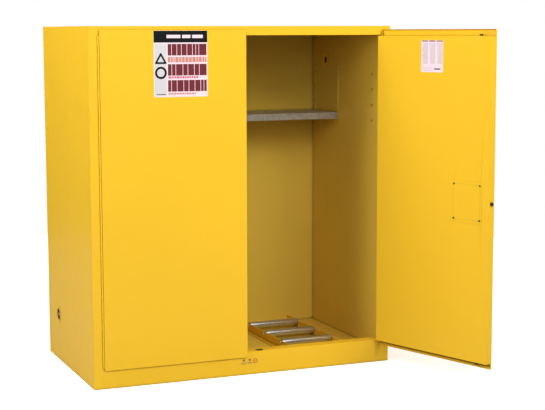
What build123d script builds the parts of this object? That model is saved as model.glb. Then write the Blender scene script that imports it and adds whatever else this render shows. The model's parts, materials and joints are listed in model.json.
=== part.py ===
"""Two-door flammable liquid and drum safety cabinet, double-walled steel.

Millimetres. Origin at the centre of the base, on the floor. +Z up, the doors face -Y, +X to the
right of somebody who stands in front. The left door is built closed and the right door stands open.
"""
import math
import os

from build123d import *

# ---- overall size (a 59 x 34 x 65 in cabinet) ----
WIDTH = 1499.0
DEPTH = 864.0
HEIGHT = 1651.0
SHEET = 1.2
REAR_LIP = 20.0                   # side skin's return in front of the back sheet
WALL = 40.5                       # outer skin to the inner liner's face, a 38 mm air gap between
CEILING_Z = 1610.0
FLOOR_Z = 59.0                    # top of the spill floor, a 50 mm deep sump below the sill
SIDE_X = WIDTH / 2
FRONT_Y = -DEPTH / 2
BACK_Y = DEPTH / 2
LINER_X = SIDE_X - WALL
LINER_BACK_Y = BACK_Y - WALL
RUN_FIT = 0.05                    # radial clearance of a running fit
CUT = 5.0                         # how far a cutter runs past the sheet that it cuts

# ---- door opening ----
OPENING_X = LINER_X               # half width, the jambs in line with the inner walls
OPENING_TOP = 1608.0
SILL_TOP = 111.0
SILL_DEPTH = 62.0
JAMB_DEPTH = 42.0
SUMP_FLANGE = 20.0                # turned-down edge of the spill floor
BOLT_SLOT_HALF = 17.0             # slot in the sill's ledge over each bottom strike
BOLT_SLOT_FRONT = 13.0
BOLT_SLOT_REAR = 23.0
BOLT_HOLE_R = 11.0                # hole in the header over each top strike

# ---- doors ----
DOOR_PROUD = 8.0                  # the outer skin stands this far in front of the frame
DOOR_GAP = 0.4                    # between a closed door's rim and the frame
CENTRE_GAP = 3.0
HINGE_GAP = 8.0
DOOR_FRONT = FRONT_Y - DOOR_PROUD
DOOR_REAR = -402.0
DOOR_BOTTOM = 86.0
DOOR_TOP = 1634.0
RIM_RETURN = 12.0                 # upturned edge of the door's bottom rim
PAN_BOTTOM = 113.0
PAN_TOP = 1603.0
EDGE_HINGE = OPENING_X - HINGE_GAP
EDGE_FREE = CENTRE_GAP / 2
OPEN_ANGLE = 109.0

# ---- piano hinge ----
HINGE_X = OPENING_X - HINGE_GAP / 2
HINGE_Y = -436.0
KNUCKLE_R = 3.7
KNUCKLE_COUNT = 61
KNUCKLE_GAP = 0.5
KNUCKLE_RELIEF = 0.35             # clearance round the other leaf's knuckles
PIN_R = 1.9
LEAF = 1.5
LEAF_REAR = -405.0
HINGE_BOTTOM = 98.0
HINGE_TOP = 1609.0

# ---- three-point latch in the right door, in the door's closed position ----
BOLT_X = 70.25                    # line of the top and bottom bolts
LATCH_Z = 851.0
CAM_R = 14.14
CAM_X = BOLT_X + CAM_R
STROKE = 10.0
ROD_Y = -415.0
MID_BOLT_Y = -419.0
BOLT_R = 8.0
ROD_R = 4.0
CAM_PIN_R = 2.5
SLOT_PLAY = 0.7
CAM_TURN = 45.0
CAM_REAR = -421.0
STRIKE = 3.0
STRIKE_HALF = 26.0
STRIKE_FRONT = 15.0
STRIKE_REAR = 24.0
LINK_PLATE = 3.0
LINK_EDGE = 9.0                   # a link plate's edge from its drive pin
LINK_SHOULDER = 12.0              # its edge on the side that the pin swings to
LINK_REACH = 52.0                 # pin to the end of the top rod's plate
CRANK_LOW = 61.0                  # the bottom rod's crank, below the pin
CRANK_HIGH = 45.0
SIDE_BAR_LOW = 36.0               # the middle bolt's bar, below the pin line
SIDE_BAR_HIGH = 22.0
SIDE_RISER = 14.0
ROD_LAP = 8.0                     # how far a rod runs into its plate
BOLT_LENGTH = 40.0                # bolt's round end inside the pan's fold
SPINDLE_R = 7.0
LOCK_R = 6.0
CAM_DISC_R = 21.0
CHASSIS_Y = -428.0
CHASSIS_PLATE = 2.0
CHASSIS_LEFT = 55.0               # chassis edges from the spindle
CHASSIS_RIGHT = 65.0
CHASSIS_HALF_HEIGHT = 60.0
CHASSIS_POST_R = 5.0
CHASSIS_POST_INSET = 9.0
HANDLE_PROUD = 34.0               # handle's face in front of the door
HUB_R = 18.0
LEVER_LENGTH = 118.0
LEVER_ROOT_R = 14.0
LEVER_TIP_R = 10.0
LEVER_THICK = 12.0
PLUG_PROUD = 1.2
PLATE_HALF_WIDTH = 30.0
PLATE_HALF_HEIGHT = 55.0
PLATE_THICK = 3.0
GUIDE_R = 11.0
GUIDE_LENGTH = 14.0
SIDE_GUIDE_LENGTH = 8.0
WINDOW_S = (503.0, 645.0)         # latch window, its cover and the screws, from the hinge line
WINDOW_Z = (778.0, 924.0)
COVER_S = (485.0, 663.0)
COVER_Z = (754.0, 947.0)
SCREW_S = (497.0, 651.0)
SCREW_Z = (771.0, 930.0)
SCREW_R = 2.1
SCREW_HEAD_R = 4.6
SCREW_HEAD = 2.4

# ---- spring catches in the left door ----
CATCH_R = 6.0
CATCH_BARREL_R = 9.0
CATCH_NIP = 3.2                   # how far a catch's nose stands into its strike
CATCH_LENGTH = 32.0
CATCH_BORE = 43.0                 # depth of the barrel's bore from the pan's fold
CATCH_END = 3.0                   # thickness of the barrel's closed end

# ---- vents, ground connector, levelling feet ----
VENT_Y = 225.0
VENT_LOW_Z = 231.0
VENT_HIGH_Z = 1478.0
VENT_BORE_R = 30.0
VENT_SLEEVE_R = 33.0
VENT_COLLAR_R = 42.0
VENT_COLLAR = 2.5
VENT_RIM_R = 39.0
VENT_RIM = 2.0
VENT_MOUTH_R = 17.0               # opening left in the inner rim
SCREEN_HOLE_R = 2.9
SCREEN_PITCH = 8.0
SCREEN_REACH = 25.0               # hole centres stay inside this radius
BUNG_DEPTH = 16.0
BUNG_INSET = 1.0
BUNG_RIM = 5.0
BUNG_BAR_HALF = 22.0               # grip bar across the bung's recess
BUNG_BAR_HEIGHT = 14.0
STUD_R = 3.175
STUD_CORE_R = 2.6                 # thread core, where the nuts grip it
STUD_Y = 330.0
STUD_Z = 150.0
STUD_TIP = 30.0                   # stud's free end from the side skin
NUT_ACROSS = 11.1
NUT_THICK = 5.6
WASHER_R = 8.0
WASHER_THICK = 1.2
FOOT_X = 680.0
FOOT_Y = 350.0
FOOT_STEM_R = 6.0
FOOT_STEM_TOP = 50.0
FOOT_PAD_R = 19.0
FOOT_PAD_THICK = 8.0
CUP_R = 21.0
CUP_WALL = 3.0
CUP_DEPTH = 12.0
CUP_ROOF = 2.0
BOSS_R = 12.0
BOSS_TOP = 26.0

# ---- shelf and its hangers ----
SHELF_FRONT = 67.0
SHELF_BACK = 388.0
SHELF_TOP = 1209.0
SHELF_LIP = 33.0
SHELF_HEM = 14.0
SHELF_X = 701.0
SLOT_COLUMNS = (-317.0, 82.0, 351.0)
SLOT_PITCH = 76.2
SLOT_ROWS = [1190.0 + i * SLOT_PITCH for i in range(4)]
SLOT_HALF_WIDTH = 10.0
SLOT_HALF_HEIGHT = 5.0
SLOT_CUP_R = 9.0                   # half-round tab pressed out under each slot
SLOT_CUP_PROUD = 7.0
SLOT_CUP_ROOM = 1.5
WALL_HOLE_R = 5.0                 # small hole near the top of the front slots
WALL_HOLE_Y = -358.0
WALL_HOLE_Z = 1405.0
HANGER_COLUMNS = SLOT_COLUMNS[1:]
HANGER_WIDTH = 36.0
HANGER_TOP = 1446.0
HANGER_STAND = 5.5                # strap's face from the wall
HANGER_SHEET = 2.0
HANGER_TAIL = 8.0                 # strap below the shelf's underside
HANGER_FOOT = 30.0                # foot's reach from the wall

# ---- drum roller carriages ----
CARRIAGE_X = 400.0
RAIL_X = 136.0                    # carriage centre to the rail's web
RAIL_FOOT = 26.0
RAIL_TOP = 101.0
RAIL_HALF_LENGTH = 345.0
ROLLER_R = 19.0
ROLLER_TOP = 108.0
ROLLER_YS = (-215.0, 0.0, 215.0)
AXLE_R = 6.0
AXLE_HEAD_R = 9.0
AXLE_HEAD = 3.5
RAIL_SHEET = 3.0
ROLLER_END_GAP = 1.5


def block(x0, x1, y0, y1, z0, z1):
    """A box between two corners."""
    centre = Pos((x0 + x1) / 2, (y0 + y1) / 2, (z0 + z1) / 2)
    return centre * Box(abs(x1 - x0), abs(y1 - y0), abs(z1 - z0))


def bar_x(radius, x0, x1, y, z):
    """A round bar along X."""
    return Pos((x0 + x1) / 2, y, z) * Rot(0, 90, 0) * Cylinder(radius, abs(x1 - x0))


def bar_y(radius, x, y0, y1, z):
    """A round bar along Y."""
    return Pos(x, (y0 + y1) / 2, z) * Rot(90, 0, 0) * Cylinder(radius, abs(y1 - y0))


def bar_z(radius, x, y, z0, z1):
    """A round bar along Z."""
    return Pos(x, y, (z0 + z1) / 2) * Cylinder(radius, abs(z1 - z0))


def mirrored(shape):
    """The same shape on the other side of the cabinet's middle plane."""
    return mirror(shape, about=Plane.YZ)


def opened(shape):
    """A piece of the right door, swung from closed to the position in which it stands open."""
    return shape.rotate(Axis((HINGE_X, HINGE_Y, 0), (0, 0, 1)), OPEN_ANGLE)


def save(name, *solids):
    """Write one node: a single solid, or a group of separate ones."""
    shape = solids[0] if len(solids) == 1 else Compound(children=[Solid(s.solid().wrapped) for s in solids])
    export_step(shape, f"parts/{name}.step")


# ---------------------------------------------------------------- cabinet body


def outer_side():
    """Right outer skin, its rear lip folded in along the back sheet."""
    x = SIDE_X
    skin = block(x - SHEET, x, FRONT_Y + SHEET, BACK_Y, 0, HEIGHT - SHEET)
    return skin + block(x - REAR_LIP, x, BACK_Y - 2 * SHEET, BACK_Y - SHEET, 2 * SHEET, HEIGHT - SHEET)


def outer_back():
    return block(SHEET - SIDE_X, SIDE_X - SHEET, BACK_Y - SHEET, BACK_Y, 0, HEIGHT - SHEET)


def outer_top():
    return block(-SIDE_X, SIDE_X, FRONT_Y + SHEET, BACK_Y, HEIGHT - SHEET, HEIGHT)


def foot_places():
    """Where the four levelling feet stand."""
    return [(sx * FOOT_X, sy * FOOT_Y) for sy in (-1, 1) for sx in (-1, 1)]


def base_pan():
    """Flush bottom plate, with a cup and a threaded boss over each levelling foot."""
    x = SIDE_X - SHEET
    pan = block(-x, x, FRONT_Y + SHEET, BACK_Y - SHEET, 0, SHEET)
    for fx, fy in foot_places():
        pan -= bar_z(CUP_R, fx, fy, -CUT, CUT)
        cup = bar_z(CUP_R + CUP_WALL, fx, fy, 0, CUP_DEPTH + CUP_ROOF)
        cup -= bar_z(CUP_R, fx, fy, -CUT, CUP_DEPTH)
        cup += bar_z(BOSS_R, fx, fy, CUP_DEPTH, BOSS_TOP)
        pan += cup - bar_z(FOOT_STEM_R + RUN_FIT, fx, fy, -CUT, BOSS_TOP + CUT)
    return pan


def levelling_foot(fx, fy):
    """A round pad on a slotted screw stem, wound right up into its cup."""
    pad = bar_z(FOOT_PAD_R, fx, fy, 0, FOOT_PAD_THICK)
    pad = chamfer(pad.edges().group_by(Axis.Z)[-1], 1.5)
    stem = bar_z(FOOT_STEM_R, fx, fy, FOOT_PAD_THICK - 1, FOOT_STEM_TOP)
    slot_half, slot_depth = 1.0, 3.0
    slot = block(fx - FOOT_STEM_R, fx + FOOT_STEM_R, fy - slot_half, fy + slot_half,
                 FOOT_STEM_TOP - slot_depth, FOOT_STEM_TOP + 1)
    return pad + stem - slot


def slot_tab(x, y, z):
    """Half-round tab standing off the right inner wall under a slot, open at its top."""
    face = x - SLOT_CUP_PROUD
    tab = bar_x(SLOT_CUP_R, face, x, y, z)
    tab -= bar_x(SLOT_CUP_R - SHEET, face + SHEET, x + CUT, y, z)
    return tab - block(face - CUT, x + CUT, y - 2 * SLOT_CUP_R, y + 2 * SLOT_CUP_R, z, z + 2 * SLOT_CUP_R)


def liner_side():
    """Right inner wall, with the shelf slots and their tabs."""
    x = LINER_X
    wall = block(x, x + SHEET, FRONT_Y + JAMB_DEPTH, LINER_BACK_Y + SHEET, FLOOR_Z, CEILING_Z)
    for y in SLOT_COLUMNS:
        for z in SLOT_ROWS:
            wall -= block(x - CUT, x + CUT, y - SLOT_HALF_WIDTH, y + SLOT_HALF_WIDTH,
                          z - SLOT_HALF_HEIGHT, z + SLOT_HALF_HEIGHT)
            wall += slot_tab(x, y, z)
    return wall - bar_x(WALL_HOLE_R, x - CUT, x + CUT, WALL_HOLE_Y, WALL_HOLE_Z)


def vent_cut(shape, side, z):
    """Clear a vent's sleeve through a side wall."""
    return shape - bar_x(VENT_SLEEVE_R, side * (LINER_X - CUT), side * (SIDE_X + CUT), VENT_Y, z)


def liner_back():
    return block(-LINER_X, LINER_X, LINER_BACK_Y, LINER_BACK_Y + SHEET, FLOOR_Z, CEILING_Z)


def liner_ceiling():
    x = LINER_X + SHEET
    y0 = FRONT_Y + JAMB_DEPTH
    return block(-x, x, y0, LINER_BACK_Y + SHEET, CEILING_Z, CEILING_Z + SHEET)


def spill_floor():
    """Flat floor of the leakproof sump, its flanges folded down into the gap."""
    x = LINER_X + SHEET
    y0 = FRONT_Y + SILL_DEPTH
    y1 = LINER_BACK_Y + SHEET
    low = FLOOR_Z - SUMP_FLANGE
    floor = block(-x, x, y0, y1, FLOOR_Z - SHEET, FLOOR_Z)
    for side in (-1, 1):
        floor += block(side * x, side * (x - SHEET), y0, y1, low, FLOOR_Z)
    return floor + block(-x, x, y1 - SHEET, y1, low, FLOOR_Z)


def stile():
    """Right front post: face, and the jamb that runs back to the inner wall."""
    y1 = FRONT_Y + JAMB_DEPTH
    face = block(OPENING_X, SIDE_X, FRONT_Y, FRONT_Y + SHEET, 0, HEIGHT)
    return face + block(OPENING_X, OPENING_X + SHEET, FRONT_Y, y1, SILL_TOP, OPENING_TOP)


def header():
    """Top rail of the door frame, with clearance holes for the bolts above its strikes."""
    x = OPENING_X
    y1 = FRONT_Y + JAMB_DEPTH
    rail = block(-x, x, FRONT_Y, FRONT_Y + SHEET, OPENING_TOP, HEIGHT)
    rail += block(-x, x, FRONT_Y, y1, OPENING_TOP, OPENING_TOP + SHEET)
    rail += block(-x, x, y1 - SHEET, y1, OPENING_TOP, CEILING_Z)
    for side in (-1, 1):
        rail -= bar_z(BOLT_HOLE_R, side * BOLT_X, ROD_Y, OPENING_TOP - CUT, OPENING_TOP + CUT)
    return rail


def sill():
    """Bottom rail: front face, ledge that the drums cross and the upstand that dams the sump."""
    x = OPENING_X
    y1 = FRONT_Y + SILL_DEPTH
    y_jamb = FRONT_Y + JAMB_DEPTH
    rail = block(-x, x, FRONT_Y, FRONT_Y + SHEET, 0, SILL_TOP)
    rail += block(-x, x, FRONT_Y, y_jamb, SILL_TOP - SHEET, SILL_TOP)
    rail += block(-LINER_X, LINER_X, y_jamb, y1, SILL_TOP - SHEET, SILL_TOP)
    rail += block(-LINER_X, LINER_X, y1 - SHEET, y1, FLOOR_Z, SILL_TOP)
    for side in (-1, 1):
        x = side * BOLT_X
        rail -= block(x - BOLT_SLOT_HALF, x + BOLT_SLOT_HALF, ROD_Y - BOLT_SLOT_FRONT, ROD_Y + BOLT_SLOT_REAR,
                      SILL_TOP - CUT, SILL_TOP + CUT)
    return rail


def strike_plates():
    """Wear plates that catch the bolts: two under the header, two under the sill's ledge."""
    plates = []
    for side, hole in ((-1, CATCH_R + 1), (1, BOLT_R + 1)):
        x = side * BOLT_X
        for z0 in (OPENING_TOP - STRIKE, SILL_TOP - SHEET - STRIKE):
            plate = block(x - STRIKE_HALF, x + STRIKE_HALF, ROD_Y - STRIKE_FRONT, ROD_Y + STRIKE_REAR,
                          z0, z0 + STRIKE)
            plates.append(plate - bar_z(hole, x, ROD_Y, z0 - CUT, z0 + STRIKE + CUT))
    return plates


# ---------------------------------------------------------------- hinges


def knuckle_spans(first):
    """Every other knuckle, from the given one up."""
    pitch = (HINGE_TOP - HINGE_BOTTOM) / KNUCKLE_COUNT
    spans = []
    for i in range(first, KNUCKLE_COUNT, 2):
        z0 = HINGE_BOTTOM + i * pitch + KNUCKLE_GAP / 2
        spans.append((z0, z0 + pitch - KNUCKLE_GAP))
    return spans


def cleared(plate, knuckles):
    """Relieve a leaf round the other leaf's knuckles."""
    for z0, z1 in knuckles:
        plate -= bar_z(KNUCKLE_R + KNUCKLE_RELIEF, HINGE_X, HINGE_Y, z0 - KNUCKLE_GAP, z1 + KNUCKLE_GAP)
    return plate


def pin_bored(shape):
    """Bore knuckles for the hinge pin."""
    return shape - bar_z(PIN_R + RUN_FIT, HINGE_X, HINGE_Y, 0, HEIGHT)


def leaf(x0, x1, z0, z1, own, other):
    """One leaf with its own knuckles, cleared round the other leaf's."""
    plate = cleared(block(x0, x1, HINGE_Y, LEAF_REAR, z0, z1), other)
    for a, b in own:
        plate += bar_z(KNUCKLE_R, HINGE_X, HINGE_Y, a, b)
    return pin_bored(plate)


def frame_leaf():
    """The leaf on the right jamb."""
    x1 = OPENING_X
    return leaf(x1 - LEAF, x1, SILL_TOP + 1, OPENING_TOP - 1, knuckle_spans(1), knuckle_spans(0))


def door_leaf():
    """The leaf on the right door's edge, with short tails behind the door's rims."""
    x0 = EDGE_HINGE
    other = knuckle_spans(1)
    plate = leaf(x0, x0 + LEAF, PAN_BOTTOM + 1, PAN_TOP - 1, knuckle_spans(0), other)
    rim_y = FRONT_Y - DOOR_GAP
    for z0, z1 in ((HINGE_BOTTOM + 1, PAN_BOTTOM + 2), (PAN_TOP - 2, HINGE_TOP - 1)):
        plate += cleared(block(x0, x0 + LEAF, HINGE_Y, rim_y, z0, z1), other)
    return pin_bored(plate)


def hinge_pin():
    """Plain wire pin through all the knuckles."""
    return bar_z(PIN_R, HINGE_X, HINGE_Y, HINGE_BOTTOM, HINGE_TOP)


# ---------------------------------------------------------------- doors (built closed, on the right)


def door_skin():
    """Outer skin: front sheet, shallow rims with the bottom one turned up, deep edges beside the pan."""
    x0 = EDGE_FREE
    x1 = EDGE_HINGE
    rim = FRONT_Y - DOOR_GAP
    skin = block(x0, x1, DOOR_FRONT, DOOR_FRONT + SHEET, DOOR_BOTTOM, DOOR_TOP)
    skin += block(x0, x1, DOOR_FRONT, rim, DOOR_BOTTOM, DOOR_BOTTOM + SHEET)
    skin += block(x0, x1, rim - SHEET, rim, DOOR_BOTTOM, DOOR_BOTTOM + RIM_RETURN)
    skin += block(x0, x1, DOOR_FRONT, rim, DOOR_TOP - SHEET, DOOR_TOP)
    for a, b in ((x0, x0 + SHEET), (x1 - SHEET, x1)):
        skin += block(a, b, DOOR_FRONT, rim, DOOR_BOTTOM, DOOR_TOP)
        skin += block(a, b, DOOR_FRONT, DOOR_REAR - SHEET, PAN_BOTTOM + SHEET, PAN_TOP - SHEET)
    return skin


def door_pan():
    """Inner pan: rear sheet with its top and bottom folded forward."""
    x0 = EDGE_FREE
    x1 = EDGE_HINGE
    pan = block(x0, x1, DOOR_REAR - SHEET, DOOR_REAR, PAN_BOTTOM, PAN_TOP)
    y0 = DOOR_FRONT + SHEET
    for z0, z1 in ((PAN_BOTTOM, PAN_BOTTOM + SHEET), (PAN_TOP - SHEET, PAN_TOP)):
        pan += block(x0 + SHEET, x1 - SHEET, y0, DOOR_REAR, z0, z1)
    return pan


def cut_bolt_ways(shape, radius):
    """Clear the top and bottom bolts through a pan's folds."""
    for z in (PAN_BOTTOM, PAN_TOP):
        shape -= bar_z(radius, BOLT_X, ROD_Y, z - CUT, z + CUT)
    return shape


def right_skin():
    """The right door's skin, bored for the middle bolt and the handle's spindle."""
    skin = door_skin() - bar_x(BOLT_R + 0.5, EDGE_FREE - CUT, EDGE_FREE + CUT, MID_BOLT_Y, LATCH_Z)
    return skin - bar_y(SPINDLE_R + 2, CAM_X, DOOR_FRONT - CUT, DOOR_FRONT + CUT, LATCH_Z)


def behind_hinge(s, z, y0, y1):
    """A block on the right door, between two distances from the hinge line and two heights."""
    return block(HINGE_X - s[1], HINGE_X - s[0], y0, y1, z[0], z[1])


def right_pan():
    """The right door's pan, with the window through which the latch is reached."""
    pan = cut_bolt_ways(door_pan(), BOLT_R + 0.5)
    pan -= behind_hinge(WINDOW_S, WINDOW_Z, DOOR_REAR - CUT, DOOR_REAR + CUT)
    for x, z in cover_screw_places():
        pan -= bar_y(SCREW_R + 0.1, x, DOOR_REAR - CUT, DOOR_REAR + CUT, z)
    return pan


def left_skin():
    """The left door's skin, bored for the middle bolt."""
    return mirrored(door_skin() - bar_x(BOLT_R + 1.5, EDGE_FREE - CUT, EDGE_FREE + CUT, MID_BOLT_Y, LATCH_Z))


def left_pan():
    """The left door's pan, bored for the spring catches."""
    return mirrored(cut_bolt_ways(door_pan(), CATCH_R + 0.5))


def edge_strike():
    """Plate inside the left door's free edge that takes the middle bolt."""
    x = -EDGE_FREE - SHEET
    half_width, half_height = 14.0, 32.0
    plate = block(x - STRIKE, x, MID_BOLT_Y - half_width, MID_BOLT_Y + half_width,
                  LATCH_Z - half_height, LATCH_Z + half_height)
    return plate - bar_x(BOLT_R + 1, x - CUT, x + CUT, MID_BOLT_Y, LATCH_Z)


# ---------------------------------------------------------------- right door's latch


def latch_cover():
    """Plate screwed over the latch window, on the door's inner face."""
    cover = behind_hinge(COVER_S, COVER_Z, DOOR_REAR, DOOR_REAR + SHEET)
    for x, z in cover_screw_places():
        cover -= bar_y(SCREW_R + 0.5, x, DOOR_REAR - CUT, DOOR_REAR + CUT, z)
    return cover


def cover_screw_places():
    return [(HINGE_X - s, z) for s in SCREW_S for z in SCREW_Z]


def cover_screw(x, z):
    """Pan-head sheet-metal screw with a cross recess."""
    y = DOOR_REAR + SHEET
    head = bar_y(SCREW_HEAD_R, x, y, y + SCREW_HEAD, z)
    head = fillet(head.edges().group_by(Axis.Y)[-1], 1.4)
    shank = bar_y(SCREW_R, x, y - 9, y + 0.5, z)
    arm, half = 2.6, 0.4
    recess = block(x - arm, x + arm, y + 1.4, y + 3, z - half, z + half)
    recess += block(x - half, x + half, y + 1.4, y + 3, z - arm, z + arm)
    return head + shank - recess


def escutcheon():
    """Handle plate on the door's outer face."""
    plate = block(CAM_X - PLATE_HALF_WIDTH, CAM_X + PLATE_HALF_WIDTH, DOOR_FRONT - PLATE_THICK, DOOR_FRONT,
                  LATCH_Z - PLATE_HALF_HEIGHT, LATCH_Z + PLATE_HALF_HEIGHT)
    plate = fillet(plate.edges().filter_by(Axis.Y), 12)
    plate = fillet(plate.faces().sort_by(Axis.Y)[0].edges(), 1.2)
    return plate - bar_y(SPINDLE_R + RUN_FIT, CAM_X, DOOR_FRONT - CUT, DOOR_FRONT + CUT, LATCH_Z)


def latch_chassis():
    """Plate inside the door that carries the handle's spindle, on four posts."""
    y1 = CHASSIS_Y + CHASSIS_PLATE
    x_left = CAM_X - CHASSIS_LEFT
    x_right = CAM_X + CHASSIS_RIGHT
    half = CHASSIS_HALF_HEIGHT
    plate = block(x_left, x_right, CHASSIS_Y, y1, LATCH_Z - half, LATCH_Z + half)
    rise = half - CHASSIS_POST_INSET
    for x in (x_left + CHASSIS_POST_INSET, x_right - CHASSIS_POST_INSET):
        for z in (LATCH_Z - rise, LATCH_Z + rise):
            plate += bar_y(CHASSIS_POST_R, x, DOOR_FRONT + SHEET, CHASSIS_Y + 1, z)
    return plate - bar_y(SPINDLE_R + RUN_FIT, CAM_X, CHASSIS_Y - CUT, y1 + CUT, LATCH_Z)


def lever():
    """Tapered hanging lever, as a plate whose front face is the handle's."""
    y0 = DOOR_FRONT - HANDLE_PROUD
    with BuildPart() as arm:
        with BuildSketch(Plane.XZ.offset(-y0)):
            with Locations((CAM_X, LATCH_Z)):
                Circle(LEVER_ROOT_R)
            with Locations((CAM_X, LATCH_Z - LEVER_LENGTH)):
                Circle(LEVER_TIP_R)
            make_hull()
        extrude(amount=-LEVER_THICK)
    rounded = fillet(arm.part.edges().group_by(Axis.Y)[0], 3)
    return fillet(rounded.edges().group_by(Axis.Y)[-1], 3)


def latch_handle():
    """Hub, hanging lever and spindle in one casting."""
    y0 = DOOR_FRONT - HANDLE_PROUD
    hub_end = DOOR_FRONT - PLATE_THICK - 0.4
    hub = bar_y(HUB_R, CAM_X, y0, hub_end, LATCH_Z)
    hub = fillet(hub.edges().group_by(Axis.Y)[0], 2.5)
    spindle = bar_y(SPINDLE_R, CAM_X, hub_end - 2, CAM_REAR - LINK_PLATE, LATCH_Z)
    plug_bore = bar_y(LOCK_R + RUN_FIT, CAM_X, y0 - CUT, y0 + 22, LATCH_Z)
    return hub + lever() + spindle - plug_bore


def lock_plug():
    """Key cylinder's turning core, with its keyway."""
    y0 = DOOR_FRONT - HANDLE_PROUD
    core = bar_y(LOCK_R, CAM_X, y0 - PLUG_PROUD, y0 + 21, LATCH_Z)
    half_width, half_height = 0.9, 3.6
    keyway = block(CAM_X - half_width, CAM_X + half_width, y0 - CUT, y0 + 14,
                   LATCH_Z - half_height, LATCH_Z + half_height)
    return core - keyway


def latch_cam():
    """Disc on the end of the spindle with three drive pins."""
    cam = bar_y(CAM_DISC_R, CAM_X, CAM_REAR - LINK_PLATE, CAM_REAR, LATCH_Z)
    rod_pin_end = ROD_Y + LINK_PLATE / 2 + 0.3
    side_pin_end = MID_BOLT_Y + LINK_PLATE / 2 + 0.1
    for x in (CAM_X - CAM_R, CAM_X + CAM_R):
        cam += bar_y(CAM_PIN_R, x, CAM_REAR - 1, rod_pin_end, LATCH_Z)
    return cam + bar_y(CAM_PIN_R, CAM_X, CAM_REAR - 1, side_pin_end, LATCH_Z - CAM_R)


def cam_drift():
    """How far a drive pin moves across its own bolt's line as the handle turns."""
    return CAM_R * (1 - math.cos(math.radians(CAM_TURN)))


def pin_slot(x0, x1, z0, z1, y0, y1):
    """Slot that clears a cam pin whose centre stays between two corners."""
    grow = CAM_PIN_R + SLOT_PLAY
    return block(x0 - grow, x1 + grow, y0 - 1, y1 + 1, z0 - grow, z1 + grow)


def bevelled_bolt(z0, z1, tip_up):
    """Round bolt whose nose is bevelled on the side that meets the frame first."""
    bolt = bar_z(BOLT_R, BOLT_X, ROD_Y, z0, z1)
    tip = z1 if tip_up else z0
    way = 1 if tip_up else -1
    wedge = block(BOLT_X - 20, BOLT_X + 20, -30, 0, -20, 20)
    wedge = Pos(0, ROD_Y + 1, tip) * Rot(way * 40, 0, 0) * Pos(0, 34, way * 6) * wedge
    return bolt - wedge


def rod_top():
    """Top bolt, rod and the slotted plate that the cam draws down."""
    y0, y1 = ROD_Y - LINK_PLATE / 2, ROD_Y + LINK_PLATE / 2
    low, high = LATCH_Z - LINK_EDGE, LATCH_Z + LINK_REACH
    plate = block(BOLT_X - LINK_EDGE, BOLT_X + LINK_SHOULDER, y0, y1, low, high)
    plate -= pin_slot(BOLT_X, BOLT_X + cam_drift(), LATCH_Z, LATCH_Z, y0, y1)
    z_bolt = PAN_TOP - BOLT_LENGTH
    rod = bar_z(ROD_R, BOLT_X, ROD_Y, high - ROD_LAP, z_bolt)
    return plate + rod + bevelled_bolt(z_bolt - 2, OPENING_TOP + 4, True)


def rod_bottom():
    """Bottom bolt, rod, cranked link and slotted plate that the cam lifts."""
    y0, y1 = ROD_Y - LINK_PLATE / 2, ROD_Y + LINK_PLATE / 2
    pin_x = CAM_X + CAM_R
    low, high = LATCH_Z - CRANK_LOW, LATCH_Z - CRANK_HIGH
    plate = block(pin_x - LINK_SHOULDER, pin_x + LINK_EDGE, y0, y1, low, LATCH_Z + LINK_EDGE)
    plate -= pin_slot(pin_x - cam_drift(), pin_x, LATCH_Z, LATCH_Z, y0, y1)
    plate += block(BOLT_X - LINK_EDGE, pin_x, y0, y1, low, high)
    z_bolt = PAN_BOTTOM + BOLT_LENGTH
    rod = bar_z(ROD_R, BOLT_X, ROD_Y, z_bolt, low + ROD_LAP)
    return plate + rod + bevelled_bolt(SILL_TOP - 9, z_bolt + 2, False)


def bolt_mid():
    """Middle bolt with the cranked bar that the cam draws back."""
    y0, y1 = MID_BOLT_Y - LINK_PLATE / 2, MID_BOLT_Y + LINK_PLATE / 2
    pin_z = LATCH_Z - CAM_R
    low, high = LATCH_Z - SIDE_BAR_LOW, LATCH_Z - SIDE_BAR_HIGH
    x_riser = EDGE_FREE + 12
    plate = block(CAM_X - 8.5, CAM_X + 8.5, y0, y1, low, pin_z + LINK_EDGE)
    plate -= pin_slot(CAM_X, CAM_X, pin_z, pin_z + cam_drift(), y0, y1)
    bar = block(x_riser, CAM_X, y0, y1, low, high)
    riser = block(x_riser, x_riser + SIDE_RISER, y0, y1, low, LATCH_Z + BOLT_R)
    nose = bar_x(BOLT_R, EDGE_FREE - 10.5, x_riser + 4, MID_BOLT_Y, LATCH_Z)
    nose = chamfer(nose.edges().group_by(Axis.X)[0], 3)
    return plate + bar + riser + nose


def bolt_guides():
    """Bushes that the three bolts slide in, just inside the door's edges."""
    z_top = PAN_TOP - SHEET
    z_low = PAN_BOTTOM + SHEET
    x_free = EDGE_FREE + SHEET
    bore = BOLT_R + RUN_FIT
    guides = []
    for z0, z1 in ((z_top - GUIDE_LENGTH, z_top), (z_low, z_low + GUIDE_LENGTH)):
        guides.append(bar_z(GUIDE_R, BOLT_X, ROD_Y, z0, z1) - bar_z(bore, BOLT_X, ROD_Y, z0 - CUT, z1 + CUT))
    x_end = x_free + SIDE_GUIDE_LENGTH
    side = bar_x(GUIDE_R, x_free, x_end, MID_BOLT_Y, LATCH_Z)
    guides.append(side - bar_x(bore, x_free - CUT, x_end + CUT, MID_BOLT_Y, LATCH_Z))
    return guides


def coil(radius, wire, pitch, height):
    """A round-wire helical spring, standing on its origin."""
    path = Helix(pitch=pitch, height=height, radius=radius)
    section = Plane(origin=path @ 0, z_dir=path % 0) * Circle(wire)
    return sweep(section, path)


def handle_spring():
    """Torsion coil round the spindle that turns the handle back."""
    turns = coil(9.5, 0.9, 2.4, 6.0)
    return Pos(CAM_X, DOOR_FRONT + SHEET + 1.6, LATCH_Z) * Rot(-90, 0, 0) * turns


# ---------------------------------------------------------------- left door's spring catches


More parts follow.
